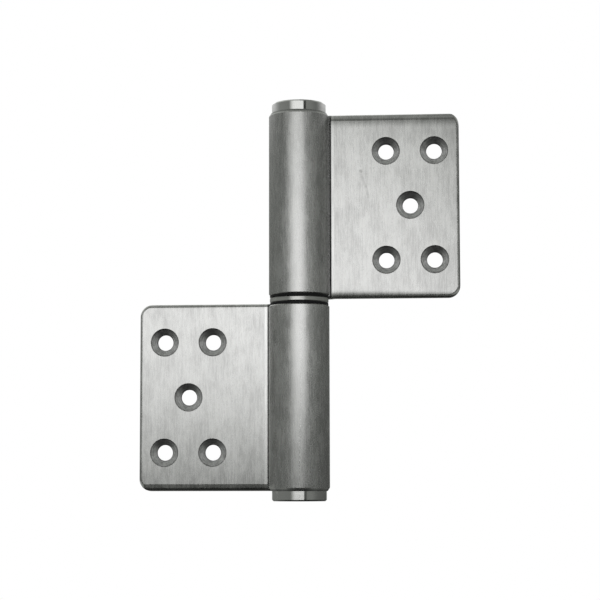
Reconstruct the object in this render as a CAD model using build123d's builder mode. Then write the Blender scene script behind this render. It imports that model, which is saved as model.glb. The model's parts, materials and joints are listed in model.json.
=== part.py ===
from build123d import *
import os
from math import atan2, degrees

os.makedirs("parts", exist_ok=True)

# A lift-off flag hinge, opened flat, in millimetres. The pin stands along Z and the screw heads face -Y.
# The door leaf reaches towards +X and sits above the frame leaf, which reaches towards -X.
# The origin lies on the pin's axis, halfway between the two knuckles.

# Sheet and knuckle
SHEET = 3.0             # thickness of the steel that each leaf is rolled from
BORE_D = 14.0           # bore of the rolled knuckle
KNUCKLE_END = 62.6      # from the middle of the hinge to a knuckle's outer end
RIM_WIDTH = 0.7         # bevel round a knuckle's outer end, across
RIM_HEIGHT = 1.1        # the same bevel, along the pin
INNER_BREAK = 0.4       # broken edge round a knuckle's inner end
SEAM = 0.4              # slit where the curl closes on its own leaf

# Leaf plate
LEAF_REACH = 53.2       # from the pin's axis to a leaf's free edge
LEAF_SETBACK = 1.0      # from the pin's axis back to the leaf's front face
LEAF_OVERHANG = 0.8     # how far the plate runs past its knuckle, towards the other leaf
CORNER_R = 4.0          # the free edge's two corners, seen from the front
EDGE_R = 1.0            # rounding of the front face's edges
OUTER_EDGE_R = 2.3      # larger rounding of the front edge that ends level with the knuckle
ROOT_GROOVE = 0.6       # width of the groove between knuckle and plate
ROOT_R = 0.6            # rounding of the plate where it turns into the knuckle
BACK_BEND_R = 4.5       # hollow bend behind the knuckle

# Screw holes
HOLE_D = 5.2            # shank hole
SINK_D = 9.4            # countersink at the front face
SINK_ANGLE = 90.0       # countersink, included angle
HOLE_INSET = 16.3       # from the free edge to the middle of the pattern
HOLE_SPACING_X = 16.0   # between the two columns
HOLE_SPACING_Z = 36.5   # between the upper and the lower row

# Bearing
WASHER_T = 1.7          # steel thrust washer between the knuckles
BEVEL_WIDTH = 0.3       # bevels of the washer's outer edges, across
BEVEL_HEIGHT = 0.3      # the same bevels, along the pin
FLANGE_T = 0.8          # flange of each bearing bush
FLANGE_INSET = 0.3      # how far flanges and washer stand inside the knuckle's outside
BUSH_WALL = 1.0         # wall of a bush's sleeve
UPPER_SLEEVE = 44.0     # length of the sleeve that turns on the pin
LOWER_SLEEVE = 18.0     # length of the sleeve that holds the pin
RUN_CLEARANCE = 0.05    # radial, upper bush on the pin
WASHER_CLEARANCE = 0.08 # radial, thrust washer on the pin
FLANGE_BREAK = 0.2      # broken edge of each flange

# Pin and caps
PIN_ABOVE = 50.0        # how far the pin stands above the middle of the hinge
PIN_LEAD_WIDTH = 1.2    # taper at the pin's head, across
PIN_LEAD_HEIGHT = 3.0   # the same taper, along the pin
PIN_FOOT_BREAK = 0.5    # bevel at the pin's foot
PIN_FOOT_GAP = 0.5      # between the pin's foot and the bottom cap
CAP_INSET = 1.0         # how far a cap's head stands inside the knuckle's outside
CAP_HEAD = 3.3          # height of a cap's head
CAP_STEM = 6.0          # length of the stem pressed into the bore
CAP_RIM_BREAK = 0.5     # bevelled rim of the head
CAP_STEM_BREAK = 0.5    # bevel at the stem's end

# Sizes that follow from these
bore_r = BORE_D / 2
knuckle_r = bore_r + SHEET
pin_r = bore_r - BUSH_WALL
flange_r = knuckle_r - FLANGE_INSET
washer_half = WASHER_T / 2
knuckle_start = washer_half + FLANGE_T
knuckle_length = KNUCKLE_END - knuckle_start
plate_start = knuckle_start - LEAF_OVERHANG
plate_height = KNUCKLE_END - plate_start
plate_middle = plate_start + plate_height / 2
plate_back = LEAF_SETBACK + SHEET
hole_column = LEAF_REACH - HOLE_INSET

# Where the larger rounding leaves the plate's end and where it meets the front face, across and along
outer_side = (LEAF_SETBACK + OUTER_EDGE_R, KNUCKLE_END)
outer_front = (LEAF_SETBACK, KNUCKLE_END - OUTER_EDGE_R)

# Where the plate's front face rolls over into the groove, and where its wall meets the seam
root_x = knuckle_r + ROOT_GROOVE
root_front = (root_x, LEAF_SETBACK)
root_side = (root_x - ROOT_R, LEAF_SETBACK + ROOT_R)
seam_angle = degrees(atan2(root_side[1], root_side[0]))

# The hollow bend touches the knuckle at one end and runs into the plate's back face at the other
bend_y = plate_back + BACK_BEND_R
bend_reach = knuckle_r + BACK_BEND_R
bend_x = (bend_reach**2 - bend_y**2) ** 0.5
bend_on_knuckle = (bend_x * knuckle_r / bend_reach, bend_y * knuckle_r / bend_reach)
bend_on_plate = (bend_x, plate_back)


def rolled_leaf():
    """One leaf with its knuckle, rolled from a single strip, in the door leaf's place."""
    with BuildPart() as leaf:
        # The plate, running inwards behind the knuckle through its hollow bend
        with BuildSketch(Plane.XY.offset(plate_start)):
            with BuildLine():
                RadiusArc(bend_on_knuckle, bend_on_plate, BACK_BEND_R)
                Polyline(
                    bend_on_plate,
                    (LEAF_REACH, plate_back),
                    (LEAF_REACH, LEAF_SETBACK),
                    (0, LEAF_SETBACK),
                    bend_on_knuckle,
                )
            make_face()
        extrude(amount=plate_height)

        # Rounded corners, then the small rounding that runs round the three free sides
        fillet(leaf.edges().filter_by(Axis.Y).group_by(Axis.X)[-1], CORNER_R)
        front = leaf.faces().filter_by(Axis.Y).sort_by(Axis.Y)[0]
        fillet(front.edges().sort_by(Axis.X)[1:], EDGE_R)

        # The larger rounding along the outer end
        with BuildSketch(Plane.YZ):
            with BuildLine():
                RadiusArc(outer_front, outer_side, OUTER_EDGE_R)
                Polyline(outer_side, (LEAF_SETBACK, KNUCKLE_END), outer_front)
            make_face()
        extrude(amount=LEAF_REACH, mode=Mode.SUBTRACT)

        # The groove beside the knuckle, with the plate's front rolling over into it
        with BuildSketch(Plane.XY.offset(plate_start)):
            with BuildLine():
                RadiusArc(root_side, root_front, ROOT_R)
                Polyline(root_front, (root_x, 0), (0, 0), root_side)
            make_face()
        extrude(amount=plate_height, mode=Mode.SUBTRACT)

        # The curl, with its bevelled outer end and broken inner edge
        with BuildSketch(Plane.XZ):
            with BuildLine():
                Polyline(
                    (0, knuckle_start),
                    (knuckle_r - INNER_BREAK, knuckle_start),
                    (knuckle_r, knuckle_start + INNER_BREAK),
                    (knuckle_r, KNUCKLE_END - RIM_HEIGHT),
                    (knuckle_r - RIM_WIDTH, KNUCKLE_END),
                    (0, KNUCKLE_END),
                    close=True,
                )
            make_face()
        revolve(axis=Axis.Z)

        # The seam, a slit just in front of the plate's wall
        with BuildSketch(Plane.XY.offset(knuckle_start).rotated((0, 0, seam_angle))):
            Rectangle(knuckle_r * 2, SEAM, align=(Align.MIN, Align.MAX))
            Circle(knuckle_r, mode=Mode.INTERSECT)
        extrude(amount=knuckle_length, mode=Mode.SUBTRACT)

        # The bore, and the inner end faced back so that only the plate overhangs
        with BuildSketch(Plane.XY.offset(plate_start)):
            Circle(bore_r)
        extrude(amount=plate_height, mode=Mode.SUBTRACT)
        with BuildSketch(Plane.XY.offset(plate_start)):
            Circle(knuckle_r + ROOT_GROOVE / 2)
        extrude(amount=LEAF_OVERHANG, mode=Mode.SUBTRACT)

        # Five countersunk screw holes, one at each corner of the pattern and one in its middle
        with Locations(Plane((hole_column, LEAF_SETBACK, plate_middle), (1, 0, 0), (0, -1, 0))):
            with GridLocations(HOLE_SPACING_X, HOLE_SPACING_Z, 2, 2):
                CounterSinkHole(HOLE_D / 2, SINK_D / 2, SHEET, SINK_ANGLE)
            CounterSinkHole(HOLE_D / 2, SINK_D / 2, SHEET, SINK_ANGLE)
    return leaf.part


def flanged_bush(sleeve_length, inner_r):
    """A bearing bush in the door leaf's knuckle, with its flange between knuckle and washer."""
    with BuildPart() as bush:
        with BuildSketch(Plane.XY.offset(washer_half)):
            Circle(flange_r)
        extrude(amount=FLANGE_T)
        chamfer(bush.edges().group_by(Axis.Z)[0], FLANGE_BREAK)
        with BuildSketch(Plane.XY.offset(washer_half)):
            Circle(bore_r)
        extrude(amount=FLANGE_T + sleeve_length)
        with BuildSketch(Plane.XY.offset(washer_half)):
            Circle(inner_r)
        extrude(amount=FLANGE_T + sleeve_length, mode=Mode.SUBTRACT)
    return bush.part


def end_cap():
    """A turned cap on top of the door leaf's knuckle, with the stem that holds it in the bore."""
    with BuildPart() as cap:
        with BuildSketch(Plane.XY.offset(KNUCKLE_END)):
            Circle(knuckle_r - CAP_INSET)
        extrude(amount=CAP_HEAD)
        chamfer(cap.edges().group_by(Axis.Z)[-1], CAP_RIM_BREAK)
        with BuildSketch(Plane.XY.offset(KNUCKLE_END)):
            Circle(bore_r)
        extrude(amount=-CAP_STEM)
        chamfer(cap.edges().group_by(Axis.Z)[0], CAP_STEM_BREAK)
    return cap.part


# The two leaves are the same pressing, turned end for end
with BuildPart() as door_leaf:
    add(rolled_leaf())
door_leaf.part.label = "door_leaf"

with BuildPart() as frame_leaf:
    add(rolled_leaf(), rotation=(0, 180, 0))
frame_leaf.part.label = "frame_leaf"

# The pin: a foot pressed into the frame leaf's bore, and a slimmer shaft that the door leaf turns on
pin_foot = CAP_STEM + PIN_FOOT_GAP - KNUCKLE_END
pin_shoulder = -(knuckle_start + LOWER_SLEEVE)
with BuildPart() as hinge_pin:
    with BuildSketch(Plane.XY.offset(pin_foot)):
        Circle(bore_r)
    extrude(amount=pin_shoulder - pin_foot)
    chamfer(hinge_pin.edges().group_by(Axis.Z)[0], PIN_FOOT_BREAK)
    with BuildSketch(Plane.XY.offset(pin_shoulder)):
        Circle(pin_r)
    extrude(amount=PIN_ABOVE - pin_shoulder)
    head = hinge_pin.edges().group_by(Axis.Z)[-1]
    chamfer(head, PIN_LEAD_HEIGHT, PIN_LEAD_WIDTH)
hinge_pin.part.label = "hinge_pin"

with BuildPart() as upper_bush:
    add(flanged_bush(UPPER_SLEEVE, pin_r + RUN_CLEARANCE))
upper_bush.part.label = "upper_bush"

with BuildPart() as lower_bush:
    add(flanged_bush(LOWER_SLEEVE, pin_r), rotation=(0, 180, 0))
lower_bush.part.label = "lower_bush"

with BuildPart() as thrust_washer:
    with BuildSketch(Plane.XZ):
        with BuildLine():
            Polyline(
                (pin_r + WASHER_CLEARANCE, -washer_half),
                (flange_r - BEVEL_WIDTH, -washer_half),
                (flange_r, BEVEL_HEIGHT - washer_half),
                (flange_r, washer_half - BEVEL_HEIGHT),
                (flange_r - BEVEL_WIDTH, washer_half),
                (pin_r + WASHER_CLEARANCE, washer_half),
                close=True,
            )
        make_face()
    revolve(axis=Axis.Z)
thrust_washer.part.label = "thrust_washer"

with BuildPart() as top_cap:
    add(end_cap())
top_cap.part.label = "top_cap"

with BuildPart() as bottom_cap:
    add(end_cap(), rotation=(0, 180, 0))
bottom_cap.part.label = "bottom_cap"

pieces = [
    door_leaf,
    frame_leaf,
    hinge_pin,
    upper_bush,
    lower_bush,
    thrust_washer,
    top_cap,
    bottom_cap,
]
for piece in pieces:
    export_step(piece.part, f"parts/{piece.part.label}.step")
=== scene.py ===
import json
import math

import bmesh
import bpy
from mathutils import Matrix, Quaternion, Vector


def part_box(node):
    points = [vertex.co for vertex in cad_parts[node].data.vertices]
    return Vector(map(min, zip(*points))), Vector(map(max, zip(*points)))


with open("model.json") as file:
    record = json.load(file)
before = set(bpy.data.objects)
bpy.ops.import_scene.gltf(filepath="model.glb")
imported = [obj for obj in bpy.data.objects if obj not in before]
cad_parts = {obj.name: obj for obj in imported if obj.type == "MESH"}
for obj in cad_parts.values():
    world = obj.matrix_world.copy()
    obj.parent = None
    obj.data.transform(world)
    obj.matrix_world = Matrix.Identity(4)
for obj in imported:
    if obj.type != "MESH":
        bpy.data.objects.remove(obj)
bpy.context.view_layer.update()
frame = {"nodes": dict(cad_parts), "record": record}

# The camera: a little below the hinge and to its right, looking slightly up at it
IMAGE_PX = 600
SENSOR_MM = 36.0
FOCAL_PX = 1813.9
CAMERA_DISTANCE = 0.6
CAMERA_TURN = math.radians(4.3)
CAMERA_RISE = math.radians(-5.7)
CAMERA_ROLL = math.radians(-0.1)
CAMERA_TARGET = Vector((0.00027, 0.0, 0.00024))

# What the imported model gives, in metres from the hinge's middle. The frame leaf is like the door
# leaf, turned end for end. The root, where the plate meets the knuckle, is one radius out
leaf_low, leaf_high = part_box("door_leaf")
ROOT = leaf_high.y
FREE_EDGE = leaf_high.x
INNER_END = leaf_low.z
OUTER_END = leaf_high.z
screws = next(mount for mount in frame["record"]["mounts"] if mount["name"] == "door_screws")
HOLES_REACH, BACK_FACE, HOLES_HEIGHT = screws["pos_m"]
HOLE_RADIUS = screws["dims"]["hole_r_mm"] / 1000
HALF_SPACING_ACROSS = screws["dims"]["spacing_x_mm"] / 2000
HALF_SPACING_ALONG = screws["dims"]["spacing_y_mm"] / 2000

# The sheet and its countersinks, in metres. At 90 degrees, they are as deep as they widen the hole
SHEET = 0.003
FRONT_FACE = BACK_FACE - SHEET
SINK_RADIUS = 0.0047
SINK_FLOOR = FRONT_FACE + SINK_RADIUS - HOLE_RADIUS

# Bands on a leaf, in metres: each starts over its first two places and ends over its last two, or
# goes on if it has only two. SINK_ROOM is how far round the countersinks their window reaches
# In the groove between the knuckle and the plate, the steel is darkened with painted shade
GROOVE = (ROOT - 0.0012, ROOT - 0.0002, ROOT + 0.0006, ROOT + 0.0009)
# Along the root, the steel is made lighter as a painted highlight
ROOT_HIGHLIGHT = (ROOT + 0.0006, ROOT + 0.0009, ROOT + 0.0013, ROOT + 0.002)
PLATE = (ROOT + 0.0003, ROOT + 0.0008)
# On the knuckle's rim beside the cap, the steel is darkened with painted shade
KNUCKLE_RIM = (OUTER_END - 0.0009, OUTER_END - 0.0003)
CUT_DEPTHS = (FRONT_FACE + 0.00003, FRONT_FACE + 0.00008, BACK_FACE - 0.00005, BACK_FACE - 0.00002)
SINK_ROOM = 0.0002

# Where the tilts of a leaf's surface start and end, in metres
TWIST_REACH = (ROOT + 0.008, FREE_EDGE - 0.0032)
ROLL_OFF_REACH = (FREE_EDGE - 0.0232, FREE_EDGE - 0.0002)
OUTER_TILT_HEIGHT = (OUTER_END - 0.0051, OUTER_END - 0.0016)
INNER_TILT_HEIGHT = INNER_END + 0.00015
UNEVEN_HEIGHT = (0.03, 0.056)

# The slight tilts that each leaf's highlights show, as parts of the surface's direction: root_tilt
# and twist are the plate's at the root and at the free edge, outer_end is its outer end's, and
# soft_end is where its inner end's starts, in metres. roll_off is the plate's towards the free edge,
# and uneven is the knuckle's, which fades outwards. The last entry is a share from 0 to 1 of painted
# shade in the groove between the knuckle and the plate
INNER_TILT = 0.11
DOOR_FORM = {
    "root_tilt": 0.0,
    "twist": 0.025,
    "outer_end": 0.05,
    "soft_end": 0.0042,
    "roll_off": 0.08,
    "uneven": 0.0,
    "groove_dirt": 0.6,
}
FRAME_FORM = {
    "root_tilt": 0.008,
    "twist": 0.01,
    "outer_end": 0.0,
    "soft_end": 0.0028,
    "roll_off": 0.0,
    "uneven": -0.05,
    "groove_dirt": 0.0,
}

# The door leaf's dot and scratch: each line's two ends across and up the face, its width and its
# strength. It is at full strength over the core, a share of its width
MARK_CORE = 0.4
DOOR_MARKS = (
    ((0.0204, 0.0434), (0.0206, 0.0431), 0.0006, 0.33),
    ((0.0207, 0.0420), (0.0222, 0.0380), 0.0006, 0.14),
    ((0.0222, 0.0380), (0.0230, 0.0345), 0.0006, 0.14),
)

# Grain: how it is stretched along x, y and z, how fine it is to the metre, and its smaller detail
FINE_LINES = {"stretch": (1, 1, 0.07), "scale": 2400.0, "detail": 4.0, "roughness": 0.6}
COARSE_LINES = {"stretch": (1, 1, 0.25), "scale": 900.0, "detail": 4.0, "roughness": 0.7}
LEAF_CLOUDS = {"stretch": (1, 1, 0.5), "scale": 150.0, "detail": 6.0, "roughness": 0.7}
CUTTER_MARKS = {"stretch": (0.3, 1, 0.3), "scale": 2500.0, "detail": 4.0, "roughness": 0.7}
TURNED_RINGS = {"stretch": (0.02, 0.02, 1), "scale": 2500.0, "detail": 2.0}
TURNED_CLOUDS = {"stretch": (1, 1, 1), "scale": 150.0, "detail": 2.0}
BEARING_GRAIN = {"stretch": (1, 1, 1), "scale": 4000.0}

# The leaves' steel: its colours, its darkest and lightest shades on the knuckle and on the plate, the
# ramps that its grain makes between them, the dark of its marks and of painted shade, the share of
# painted shade on the knuckle's rim beside the cap, and its shine. Here and below, a ramp has four
# numbers: between the first two, it goes from the third to the fourth
DOOR_COLOUR = (0.82, 0.82, 0.81)
FRAME_COLOUR = (0.89, 0.89, 0.88)
DARKEST = (0.66, 0.62)
LIGHTEST = (0.93, 1.0)
COARSE_SHARE = 0.4
LINES_WEAR = (0.42, 0.58, 0.0, 0.45)
CLOUDS_WEAR = (0.36, 0.64, 0.0, 0.55)
DIRT_AND_SHADE = (0.1, 0.1, 0.1, 1)
RIM_SHADE = 0.6
LINES_ROUGHNESS = (0.3, 0.7, 0.24, 0.3)
CLOUDS_ROUGHNESS = (0.3, 0.7, -0.02, 0.02)
LEAF_ANISOTROPY = 0.9
LEAF_GRAIN_DEPTH = 0.00002
STEEL_GRAIN_STRENGTH = 0.15

# The way that the leaves are brushed, a little off upright so that their flat ends shine too
BRUSHED_ALONG = (0.01, 0.0, 1.0)

# The countersinks: ramps for the cutter's marks, for painted shade where the slope faces down, for its
# darker edge and for painted shade towards its foot
SINK_MARKS = (0.4, 0.6, 0.7, 1.05)
SINK_FACING_SHADE = (-0.65, 0.1, 0.3, 1.0)
SINK_EDGE = (FRONT_FACE + 0.0001, FRONT_FACE + 0.0005, 0.45, 1.0)
SINK_FOOT_SHADE = (SINK_FLOOR - 0.0003, SINK_FLOOR, 1.0, 0.25)
SINK_ROUGHNESS = 0.5

# The turned pieces. The flare tilts the bottom cap's shine as a slightly conical rim would
PIN_FINISH = {"colour": (0.6, 0.6, 0.59), "roughness": 0.25, "anisotropy": 0.5}
CAP_FINISH = {"colour": (0.9, 0.9, 0.89), "roughness": 0.12, "anisotropy": 0.8}
WASHER_FINISH = {"colour": (0.76, 0.76, 0.74), "roughness": 0.36, "anisotropy": 0.0}
BOTTOM_CAP_FLARE = 0.022
TURNED_SHADES = (0.9, 1.0)
TURNED_WEAR = (0.3, 0.7, 0.7, 1.3)
TURNED_GRAIN_DEPTH = 0.00001

# The bearing's darkest and lightest black, and its matt shine
BEARING_BLACKS = ((0.004, 0.004, 0.0045, 1), (0.012, 0.012, 0.013, 1))
BEARING_ROUGHNESS = (0.2, 0.8, 0.3, 0.45)
BEARING_SPECULAR = 0.15
BEARING_GRAIN_DEPTH = 0.00002
BEARING_GRAIN_STRENGTH = 0.3

# The floor, the lamp and the light from all round, in metres and watts
FLOOR_Z = -0.125
FLOOR_RADIUS = 6.0
FLOOR_FADE = (0.12, 0.3)
FLOOR_COLOUR = (0.93, 0.93, 0.93, 1)
WORLD_LEVEL = 0.7
WHITE = (1, 1, 1, 1)
KEY_PLACE = Vector((-0.5, -0.7, 0.9))
KEY_SIZE = 0.6
KEY_POWER = 3.0

# The tent that the steel shows, in degrees: turns go from the front to the right, and rises from
# level. The cloth's ramps are from its foot up, its steps higher up, and from its left to its right
TENT_RADIUS = 1.5
CLOTH_TINT = (0.965, 1.0, 0.945, 1)
CLOTH_FROM_FOOT = (-70, -20, 0.017, 0.09)
CLOTH_STEPS = ((-10, 4, 0.0, 0.07), (40, 65, 0.0, 0.12))
CLOTH_ACROSS = (-160, 160, 1.4, 0.65)

# Lighter patches of the cloth: each one's strength, and the turns and rises that it starts and ends
# over. No turn is past 180 degrees, so a patch that would end there goes right round the back
PAST_BACK = (200, 210)
RIGHT_PATCH = (0.16, (34, 36, 50, 90), (-6, 10, 10.5, 15))
PATCHES_BOTH_SIDES = (
    (0.33, (30, 120, *PAST_BACK), (16, 30, 42, 64)),
    (0.33, (28, 48, 80, 110), (-62, -48, -30, -10)),
    (0.36, (30, 60, 120, 155), (-38, -26, -14, -6)),
    (0.5, (150, 180, *PAST_BACK), (-12, -2, 30, 60)),
)
OPENING_SIDES = (80, 140, *PAST_BACK)
OPENING_HEIGHTS = (13, 15.5, 26, 34)

# The soft box in front, with a slanting left edge, and the dark bar beside it with its gap
BOX_LEVEL = 1.34
BOX_SIDES = (-90, -80, 22, 25)
BOX_HEIGHTS = (-4, 3.5, 7, 26)
BOX_SLANT = 0.4
BOX_SLANT_EDGE = (-41, -10)
BAR_SIDES = (23, 25, 33, 35)
BAR_HEIGHTS = (-8, -4, 20, 24)
BAR_GAP = (-1.5, 0.5, 11.5, 13)


class Nodes:
    """A node tree with a short way to add nodes and join them."""

    def __init__(self, tree):
        self.tree = tree
        tree.nodes.clear()

    def add(self, kind, settings=None, **inputs):
        """A node of that kind. Inputs are plain values or other nodes' sockets, by the input's name."""
        node = self.tree.nodes.new(kind)
        for name, value in (settings or {}).items():
            setattr(node, name, value)
        for name, value in inputs.items():
            self.set(node, name.replace("_", " "), value)
        return node

    def set(self, node, name, value):
        """Joins a socket to the input of that name or number, or sets the input's own value."""
        socket = node.inputs[name]
        if isinstance(value, bpy.types.NodeSocket):
            self.tree.links.new(value, socket)
        else:
            socket.default_value = value

    def calculate(self, kind, operation, values):
        """A Math or Vector Math node with its inputs in order."""
        node = self.add(kind, {"operation": operation})
        for number, value in enumerate(values):
            self.set(node, number, value)
        return node

    def math(self, operation, *values):
        """The output of a Math node."""
        return self.calculate("ShaderNodeMath", operation, values).outputs[0]

    def vector(self, operation, *values):
        """The vector that a Vector Math node gives."""
        return self.calculate("ShaderNodeVectorMath", operation, values).outputs[0]

    def measure(self, operation, *values):
        """The number that a Vector Math node gives."""
        return self.calculate("ShaderNodeVectorMath", operation, values).outputs["Value"]

    def product(self, first, *others):
        """All the values multiplied."""
        for other in others:
            first = self.math("MULTIPLY", first, other)
        return first

    def inverted(self, share):
        """0 where a share is 1, and 1 where it is 0."""
        return self.math("SUBTRACT", 1.0, share)

    def ramp(self, value, low, high, out_low=0.0, out_high=1.0, smooth=True):
        """Value between low and high, mapped to between out_low and out_high and held there."""
        node = self.add("ShaderNodeMapRange", {"interpolation_type": "SMOOTHSTEP" if smooth else "LINEAR"})
        for name, number in (
            ("Value", value),
            ("From Min", low),
            ("From Max", high),
            ("To Min", out_low),
            ("To Max", out_high),
        ):
            self.set(node, name, number)
        return node.outputs["Result"]

    def band(self, value, limits):
        """1 between soft limits: it starts over the first two and ends over the last two."""
        return self.product(self.ramp(value, *limits[:2]), self.ramp(value, *limits[2:], 1.0, 0.0))

    def window(self, across, sides, up, heights):
        """1 inside an opening with soft edges."""
        return self.product(self.band(across, sides), self.band(up, heights))

    def blend(self, amount, first, second):
        """A colour or a vector between two others, which are inputs 6 and 7 of the node."""
        node = self.add("ShaderNodeMix", {"data_type": "RGBA"})
        self.set(node, 0, amount)
        self.set(node, 6, first)
        self.set(node, 7, second)
        return node.outputs[2]

    def mix(self, amount, first, second):
        """A shader between two others."""
        node = self.add("ShaderNodeMixShader", Fac=amount)
        self.set(node, 1, first)
        self.set(node, 2, second)
        return node.outputs[0]

    def noise(self, place, stretch, scale, detail=3.0, roughness=0.5):
        """Noise whose grain is scale per metre, stretched along each axis."""
        mapping = self.add("ShaderNodeMapping", Vector=place, Scale=stretch)
        noise = self.add(
            "ShaderNodeTexNoise",
            Vector=mapping.outputs[0],
            Scale=scale,
            Detail=detail,
            Roughness=roughness,
        )
        return noise.outputs[0]

    def axes(self, vector):
        """A vector's three parts."""
        return self.add("ShaderNodeSeparateXYZ", Vector=vector).outputs

    def place(self):
        """Where a point lies on its own piece, in metres."""
        return self.add("ShaderNodeTexCoord").outputs["Object"]

    def normal(self):
        """The surface's own direction."""
        return self.add("ShaderNodeNewGeometry").outputs["Normal"]

    def turned(self, direction):
        """A direction given along the piece's own axes, as it stands in the scene."""
        node = self.add(
            "ShaderNodeVectorTransform",
            {"vector_type": "VECTOR", "convert_from": "OBJECT", "convert_to": "WORLD"},
            Vector=direction,
        )
        return node.outputs[0]


def new_material(name):
    """An empty material and its nodes."""
    material = bpy.data.materials.new(name)
    material.use_nodes = True
    return material, Nodes(material.node_tree)


def finish_material(nodes, surface):
    """Joins a shader to the material's output."""
    nodes.add("ShaderNodeOutputMaterial", Surface=surface)


def bare_metal(nodes, normal, grain, grain_depth, **inputs):
    """Finishes a material as metal with a raised grain. The other inputs are the shader's own."""
    bump = nodes.add(
        "ShaderNodeBump",
        Strength=STEEL_GRAIN_STRENGTH,
        Distance=grain_depth,
        Height=grain,
        Normal=normal,
    )
    shader = nodes.add("ShaderNodeBsdfPrincipled", Metallic=1.0, Normal=bump.outputs[0], **inputs)
    finish_material(nodes, shader.outputs[0])


def shades(colour, shares):
    """A colour at each share of its brightness."""
    return [[part * share for part in colour] + [1] for share in shares]


def leaf_axes(nodes, place, side):
    """How far a place lies out along its leaf, how deep, and how far from the hinge's middle."""
    x, y, z = nodes.axes(place)
    return nodes.math("MULTIPLY", x, side), y, nodes.math("MULTIPLY", z, side)


def leaf_grain(nodes, place):
    """The brushed lines of a leaf and its clouds of wear."""
    fine = nodes.math("MULTIPLY", nodes.noise(place, **FINE_LINES), 1 - COARSE_SHARE)
    lines = nodes.math("MULTIPLY_ADD", nodes.noise(place, **COARSE_LINES), COARSE_SHARE, fine)
    return lines, nodes.noise(place, **LEAF_CLOUDS)


def worn_and_highlighted_tint(nodes, leaf, colour, lines, clouds):
    """The steel's colour, lighter and darker with its grain and wear, and with a painted highlight along
    the root.
    """
    wear_and_highlight = nodes.math("ADD", nodes.ramp(clouds, *CLOUDS_WEAR), nodes.ramp(lines, *LINES_WEAR))
    # A painted highlight along the root
    wear_and_highlight = nodes.math("MAXIMUM", wear_and_highlight, nodes.band(leaf[0], ROOT_HIGHLIGHT))
    plate = nodes.ramp(leaf[0], *PLATE)
    dark = nodes.blend(plate, *shades(colour, DARKEST))
    light = nodes.blend(plate, *shades(colour, LIGHTEST))
    return nodes.blend(wear_and_highlight, dark, light)


def scratch(nodes, place, start, end, width):
    """1 along a line on the front face, from start to end across and up it."""
    first = Vector((start[0], 0.0, start[1]))
    line = Vector((end[0], 0.0, end[1])) - first
    offset = nodes.vector("SUBTRACT", nodes.vector("MULTIPLY", place, (1.0, 0.0, 1.0)), first)
    along = nodes.measure("DOT_PRODUCT", offset, line / line.length_squared)
    share = nodes.ramp(along, 0.0, 1.0, smooth=False)
    nearest = nodes.add("ShaderNodeVectorMath", {"operation": "SCALE"}, Vector=line, Scale=share)
    away = nodes.measure("DISTANCE", offset, nearest.outputs[0])
    return nodes.ramp(away, width * MARK_CORE, width, 1.0, 0.0)


def shaded_and_marked_tint(nodes, place, leaf, tint, groove_dirt, marks):
    """A tint with painted shade in the groove and on the knuckle's rim beside the cap, and dark along the
    leaf's marks.
    """
    groove = nodes.product(nodes.band(leaf[0], GROOVE), groove_dirt)
    knuckle = nodes.inverted(nodes.ramp(leaf[0], *PLATE))
    rim = nodes.product(knuckle, nodes.ramp(leaf[2], *KNUCKLE_RIM), RIM_SHADE)
    # Painted shade in the groove and on the knuckle's rim
    tint = nodes.blend(nodes.math("MAXIMUM", groove, rim), tint, DIRT_AND_SHADE)
    for start, end, width, strength in marks:
        mark = nodes.product(scratch(nodes, place, start, end, width), strength)
        tint = nodes.blend(mark, tint, DIRT_AND_SHADE)
    return tint


def round_sinks(middle, half_spacing):
    """The soft limits of a window that takes in the countersinks on both sides of the middle."""
    reach = half_spacing + SINK_RADIUS + SINK_ROOM
    return middle - reach - SINK_ROOM, middle - reach, middle + reach, middle + reach + SINK_ROOM


def countersinks(nodes, place, leaf):
    """Where the countersinks are, and how bright their sloping faces are, with painted shade where they
    face down and towards their foot.
    """
    reach, depth, height = leaf
    across = round_sinks(HOLES_REACH, HALF_SPACING_ACROSS)
    along = round_sinks(HOLES_HEIGHT, HALF_SPACING_ALONG)
    sunk = nodes.product(nodes.window(reach, across, height, along), nodes.band(depth, CUT_DEPTHS))
    # Painted shade where the slope faces down and towards its foot, and a darker edge
    shaded_cut = nodes.product(
        nodes.ramp(nodes.axes(nodes.normal())[2], *SINK_FACING_SHADE),
        nodes.ramp(nodes.noise(place, **CUTTER_MARKS), *SINK_MARKS),
        nodes.ramp(depth, *SINK_EDGE),
        nodes.ramp(depth, *SINK_FOOT_SHADE),
    )
    return sunk, shaded_cut


def pressed_normal(nodes, leaf, side, form):
    """The surface's direction, with the plate's slight twist and the soft roll-off towards its edges."""
    reach, _, height = leaf
    plate = nodes.ramp(reach, *PLATE)
    twisted = nodes.ramp(reach, *TWIST_REACH, form["root_tilt"], form["twist"], smooth=False)
    outer_end = nodes.ramp(height, *OUTER_TILT_HEIGHT, 0.0, form["outer_end"])
    inner_end = nodes.ramp(height, form["soft_end"], INNER_TILT_HEIGHT, 0.0, -INNER_TILT * side)
    upright = nodes.math("ADD", twisted, nodes.math("ADD", outer_end, inner_end))
    rolled = nodes.ramp(reach, *ROLL_OFF_REACH, 0.0, form["roll_off"] * side)
    uneven = nodes.product(nodes.inverted(plate), nodes.ramp(height, *UNEVEN_HEIGHT, form["uneven"], 0.0))
    tilt = nodes.add(
        "ShaderNodeCombineXYZ",
        X=nodes.math("MULTIPLY_ADD", rolled, plate, uneven),
        Z=nodes.product(upright, plate),
    )
    tilted = nodes.vector("ADD", nodes.normal(), nodes.turned(tilt.outputs[0]))
    return nodes.vector("NORMALIZE", tilted)


def shine_direction(nodes, normal, sunk):
    """The way the shine is drawn out: sideways, and up and down the slope in a countersink."""
    sideways = nodes.vector("CROSS_PRODUCT", BRUSHED_ALONG, normal)
    round_hole = nodes.vector("CROSS_PRODUCT", nodes.turned((0.0, 1.0, 0.0)), normal)
    return nodes.blend(sunk, sideways, nodes.vector("CROSS_PRODUCT", round_hole, normal))


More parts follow.
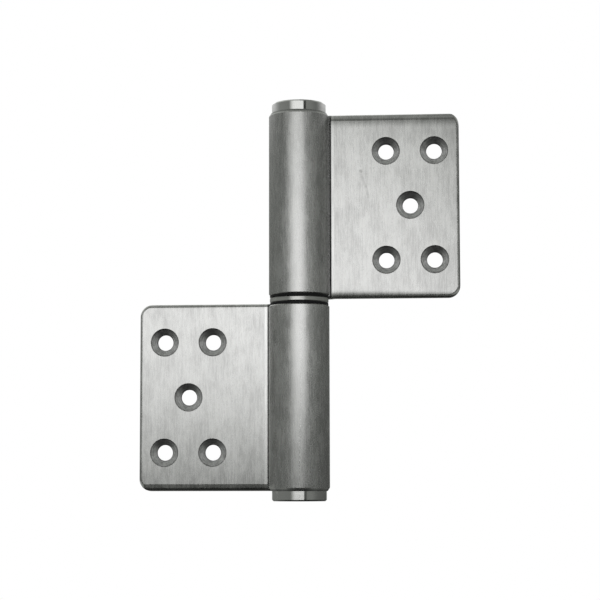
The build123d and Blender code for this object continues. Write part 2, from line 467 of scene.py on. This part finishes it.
def brushed_steel(name, colour, side, form, marks=()):
    """Stainless steel brushed along the pin, on the leaf that reaches towards that side."""
    material, nodes = new_material(name)
    place = nodes.place()
    leaf = leaf_axes(nodes, place, side)
    lines, clouds = leaf_grain(nodes, place)
    tint = worn_and_highlighted_tint(nodes, leaf, colour, lines, clouds)
    tint = shaded_and_marked_tint(nodes, place, leaf, tint, form["groove_dirt"], marks)
    sunk, shaded_cut = countersinks(nodes, place, leaf)
    rough = nodes.math("ADD", nodes.ramp(lines, *LINES_ROUGHNESS), nodes.ramp(clouds, *CLOUDS_ROUGHNESS))
    normal = pressed_normal(nodes, leaf, side, form)
    bare_metal(
        nodes,
        normal,
        lines,
        LEAF_GRAIN_DEPTH,
        Base_Color=nodes.blend(sunk, tint, shaded_cut),
        Roughness=nodes.math("MAXIMUM", rough, nodes.product(sunk, SINK_ROUGHNESS)),
        Anisotropic=LEAF_ANISOTROPY,
        Tangent=shine_direction(nodes, normal, sunk),
    )
    return material


def turned_steel(name, colour, roughness, anisotropy, flare=0.0):
    """Turned and polished stainless steel, with fine rings round the pin's axis."""
    material, nodes = new_material(name)
    place = nodes.place()
    clouds = nodes.noise(place, **TURNED_CLOUDS)
    normal = nodes.vector("NORMALIZE", nodes.vector("ADD", nodes.normal(), (0.0, 0.0, flare)))
    around = nodes.vector("CROSS_PRODUCT", (0.0, 0.0, 1.0), place)
    bare_metal(
        nodes,
        normal,
        nodes.noise(place, **TURNED_RINGS),
        TURNED_GRAIN_DEPTH,
        Base_Color=nodes.blend(clouds, *shades(colour, TURNED_SHADES)),
        Roughness=nodes.product(nodes.ramp(clouds, *TURNED_WEAR), roughness),
        Anisotropic=anisotropy,
        Tangent=nodes.vector("CROSS_PRODUCT", normal, around),
    )
    return material


def black_composite(name):
    """Black bearing composite with a fine matt grain."""
    material, nodes = new_material(name)
    grain = nodes.noise(nodes.place(), **BEARING_GRAIN)
    bump = nodes.add(
        "ShaderNodeBump",
        Strength=BEARING_GRAIN_STRENGTH,
        Distance=BEARING_GRAIN_DEPTH,
        Height=grain,
    )
    shader = nodes.add(
        "ShaderNodeBsdfPrincipled",
        Base_Color=nodes.blend(grain, *BEARING_BLACKS),
        Roughness=nodes.ramp(grain, *BEARING_ROUGHNESS),
        Specular_IOR_Level=BEARING_SPECULAR,
        Normal=bump.outputs[0],
    )
    finish_material(nodes, shader.outputs[0])
    return material


def dress(node_name, material):
    """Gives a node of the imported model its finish."""
    mesh = frame["nodes"][node_name].data
    mesh.materials.clear()
    mesh.materials.append(material)


def new_object(name, data):
    """An object in the scene that holds a mesh, a light or a camera."""
    thing = bpy.data.objects.new(name, data)
    bpy.context.scene.collection.objects.link(thing)
    return thing


def aim(thing, direction, roll=0.0):
    """Turns a lamp or a camera to look in a direction."""
    thing.rotation_mode = "QUATERNION"
    thing.rotation_quaternion = direction.to_track_quat("-Z", "Y") @ Quaternion((0, 0, 1), roll)


def background_rays(nodes):
    """1 for the rays that show the background: straight from the camera, mirrored or let through."""
    path = nodes.add("ShaderNodeLightPath")
    direct = nodes.math("MAXIMUM", path.outputs["Is Camera Ray"], path.outputs["Is Glossy Ray"])
    return nodes.math("MAXIMUM", direct, path.outputs["Is Transmission Ray"])


def disc(name, radius, z, sides=96):
    """A flat disc with its face up."""
    angles = [2 * math.pi * side / sides for side in range(sides)]
    ring = [(radius * math.cos(angle), radius * math.sin(angle), z) for angle in angles]
    mesh = bpy.data.meshes.new(name)
    mesh.from_pydata(ring, [], [list(range(sides))])
    return new_object(name, mesh)


def fading_white():
    """White cloth that turns into the plain background a little way from the hinge."""
    material, nodes = new_material("floor_white")
    far = nodes.ramp(nodes.measure("LENGTH", nodes.place()), *FLOOR_FADE)
    cloth = nodes.add("ShaderNodeBsdfDiffuse", Color=FLOOR_COLOUR)
    glow = nodes.add("ShaderNodeEmission", Strength=1.0)
    plain = nodes.product(far, background_rays(nodes))
    finish_material(nodes, nodes.mix(plain, cloth.outputs[0], glow.outputs[0]))
    return material


def white_floor():
    """A pale floor that runs into the white background."""
    floor = disc("floor", FLOOR_RADIUS, FLOOR_Z)
    floor.data.materials.append(fading_white())
    floor.visible_glossy = False


def white_world():
    """A white background, and softer light from all round."""
    world = bpy.data.worlds.new("studio")
    bpy.context.scene.world = world
    world.use_nodes = True
    nodes = Nodes(world.node_tree)
    strength = nodes.ramp(background_rays(nodes), 0.0, 1.0, WORLD_LEVEL, 1.0)
    glow = nodes.add("ShaderNodeBackground", Color=WHITE, Strength=strength)
    nodes.add("ShaderNodeOutputWorld", Surface=glow.outputs[0])


def tent_angles(nodes):
    """How far a place on the tent is turned from the front, and how high it rises, in degrees."""
    x, y, z = nodes.axes(nodes.place())
    turn = nodes.math("DEGREES", nodes.math("ARCTAN2", x, nodes.math("MULTIPLY", y, -1.0)))
    rise = nodes.math("DEGREES", nodes.math("ARCSINE", nodes.math("DIVIDE", z, TENT_RADIUS)))
    return turn, rise


def soft_box(nodes, turn, rise):
    """1 where the soft box is."""
    slanted = nodes.math("MULTIPLY_ADD", rise, BOX_SLANT, turn)
    box = nodes.window(turn, BOX_SIDES, rise, BOX_HEIGHTS)
    return nodes.product(box, nodes.ramp(slanted, *BOX_SLANT_EDGE))


def dark_bar(nodes, turn, rise):
    """1 where the dark bar beside the soft box is, above and below its gap."""
    bar = nodes.window(turn, BAR_SIDES, rise, BAR_HEIGHTS)
    return nodes.product(bar, nodes.inverted(nodes.band(rise, BAR_GAP)))


def patch(nodes, turn, rise, strength, sides, heights):
    """How much a patch adds to the cloth's brightness."""
    return nodes.product(nodes.window(turn, sides, rise, heights), strength)


def cloth_level(nodes, turn, rise):
    """How bright the cloth is: dark at its foot, grey higher up, with lighter patches."""
    level = nodes.ramp(rise, *CLOTH_FROM_FOOT, smooth=False)
    for step in CLOTH_STEPS:
        level = nodes.math("ADD", level, nodes.ramp(rise, *step))
    level = nodes.math("ADD", level, patch(nodes, turn, rise, *RIGHT_PATCH))
    level = nodes.product(level, nodes.ramp(turn, *CLOTH_ACROSS, smooth=False))
    side = nodes.math("ABSOLUTE", turn)
    lighter = 0.0
    for lighter_patch in PATCHES_BOTH_SIDES:
        lighter = nodes.math("MAXIMUM", lighter, patch(nodes, side, rise, *lighter_patch))
    return nodes.math("ADD", level, lighter)


def tent_cloth():
    """Grey glowing cloth with a soft box and a dark bar in front, open at the back."""
    material, nodes = new_material("tent_cloth")
    turn, rise = tent_angles(nodes)
    box = soft_box(nodes, turn, rise)
    cloth = nodes.product(cloth_level(nodes, turn, rise), nodes.inverted(dark_bar(nodes, turn, rise)))
    glow = nodes.add(
        "ShaderNodeEmission",
        Color=nodes.blend(box, CLOTH_TINT, WHITE),
        Strength=nodes.math("MAXIMUM", cloth, nodes.product(box, BOX_LEVEL)),
    )
    opening = nodes.window(nodes.math("ABSOLUTE", turn), OPENING_SIDES, rise, OPENING_HEIGHTS)
    clear = nodes.add("ShaderNodeBsdfTransparent")
    finish_material(nodes, nodes.mix(opening, glow.outputs[0], clear.outputs[0]))
    return material


def grey_tent():
    """A tent round the hinge that only the steel shows."""
    mesh = bpy.data.meshes.new("tent")
    shell = bmesh.new()
    bmesh.ops.create_uvsphere(shell, u_segments=96, v_segments=48, radius=TENT_RADIUS)
    shell.to_mesh(mesh)
    shell.free()
    mesh.materials.append(tent_cloth())
    tent = new_object("tent", mesh)
    tent.visible_camera = False
    tent.visible_diffuse = False
    tent.visible_transmission = False
    tent.visible_shadow = False


def soft_lamp(name, place, size, power):
    """A square soft lamp that points at the hinge and isn't seen in the steel."""
    light = bpy.data.lights.new(name, "AREA")
    light.size = size
    light.energy = power
    lamp = new_object(name, light)
    lamp.location = place
    lamp.visible_glossy = False
    lamp.visible_camera = False
    aim(lamp, -place)


def photo_camera():
    """The camera at the photograph's angle and distance."""
    data = bpy.data.cameras.new("camera")
    data.sensor_width = SENSOR_MM
    data.lens = SENSOR_MM * FOCAL_PX / IMAGE_PX
    camera = new_object("camera", data)
    level = math.cos(CAMERA_RISE)
    back = Vector((
        math.sin(CAMERA_TURN) * level,
        -math.cos(CAMERA_TURN) * level,
        math.sin(CAMERA_RISE),
    ))
    camera.location = CAMERA_TARGET + back * CAMERA_DISTANCE
    aim(camera, -back, CAMERA_ROLL)
    bpy.context.scene.camera = camera


dress("door_leaf", brushed_steel("door_steel", DOOR_COLOUR, 1, DOOR_FORM, DOOR_MARKS))
dress("frame_leaf", brushed_steel("frame_steel", FRAME_COLOUR, -1, FRAME_FORM))
dress("hinge_pin", turned_steel("pin_steel", **PIN_FINISH))
dress("top_cap", turned_steel("top_cap_steel", **CAP_FINISH))
dress("bottom_cap", turned_steel("bottom_cap_steel", **CAP_FINISH, flare=BOTTOM_CAP_FLARE))
dress("thrust_washer", turned_steel("washer_steel", **WASHER_FINISH))
bearing = black_composite("bearing_black")
dress("upper_bush", bearing)
dress("lower_bush", bearing)

white_floor()
white_world()
grey_tent()
soft_lamp("key", KEY_PLACE, KEY_SIZE, KEY_POWER)
photo_camera()
bpy.context.scene.view_settings.view_transform = "Standard"
